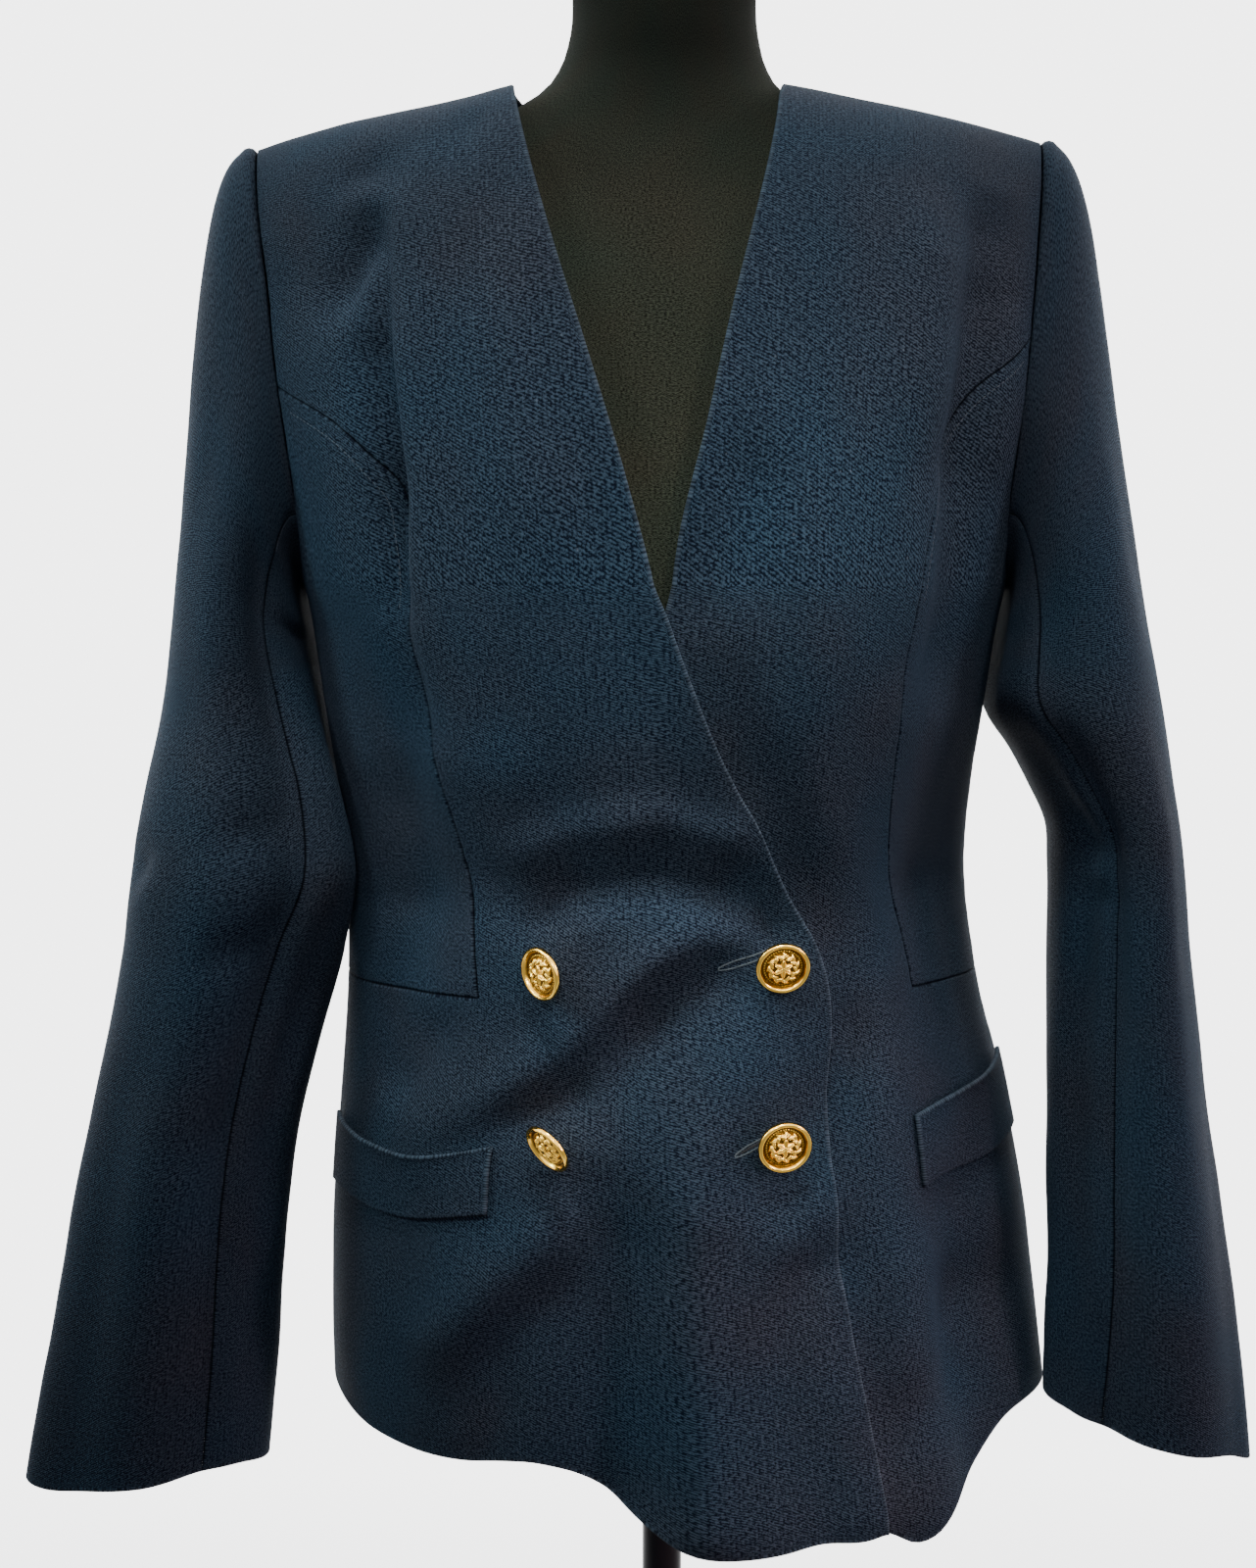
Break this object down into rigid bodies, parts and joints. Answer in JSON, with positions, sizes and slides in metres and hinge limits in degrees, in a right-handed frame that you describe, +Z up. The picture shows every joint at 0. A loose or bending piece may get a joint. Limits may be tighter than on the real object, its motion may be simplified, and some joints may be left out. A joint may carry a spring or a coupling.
{
  "type": "double-breasted blazer on a dress form",
  "caption": "Fitted collarless blazer with a deep V neck, lapped buttoned front, princess seams and curved pocket welts, worn on a limbless dress form with a pole stand.",
  "frame": {"origin": "centre of the underside of the stand's round base, on the surface it stands on", "axes": "+Z up along the pole, the jacket's front faces -Y, the wearer's left is at +X"},
  "size_m": [0.6194, 0.3, 1.5],
  "materials": {
    "wool": "dark navy wool twill, matt",
    "jersey": "black jersey cover, matt",
    "buttons": "polished pale gold plate",
    "enamel": "black enamel, semi-gloss"
  },
  "bodies": {
    "root": {"front_right": "wool", "front_left": "wool", "side_front_right": "wool", "side_front_left": "wool", "back_right": "wool", "back_left": "wool", "sleeve_upper_right": "wool", "sleeve_under_right": "wool", "sleeve_upper_left": "wool", "sleeve_under_left": "wool", "pocket_welt_right": "wool", "pocket_welt_left": "wool", "button_inner_upper": "buttons", "button_outer_upper": "buttons", "button_inner_lower": "buttons", "button_outer_lower": "buttons", "form": "jersey", "stand_pole": "enamel", "stand_base": "enamel"}
  },
  "joints": []
}
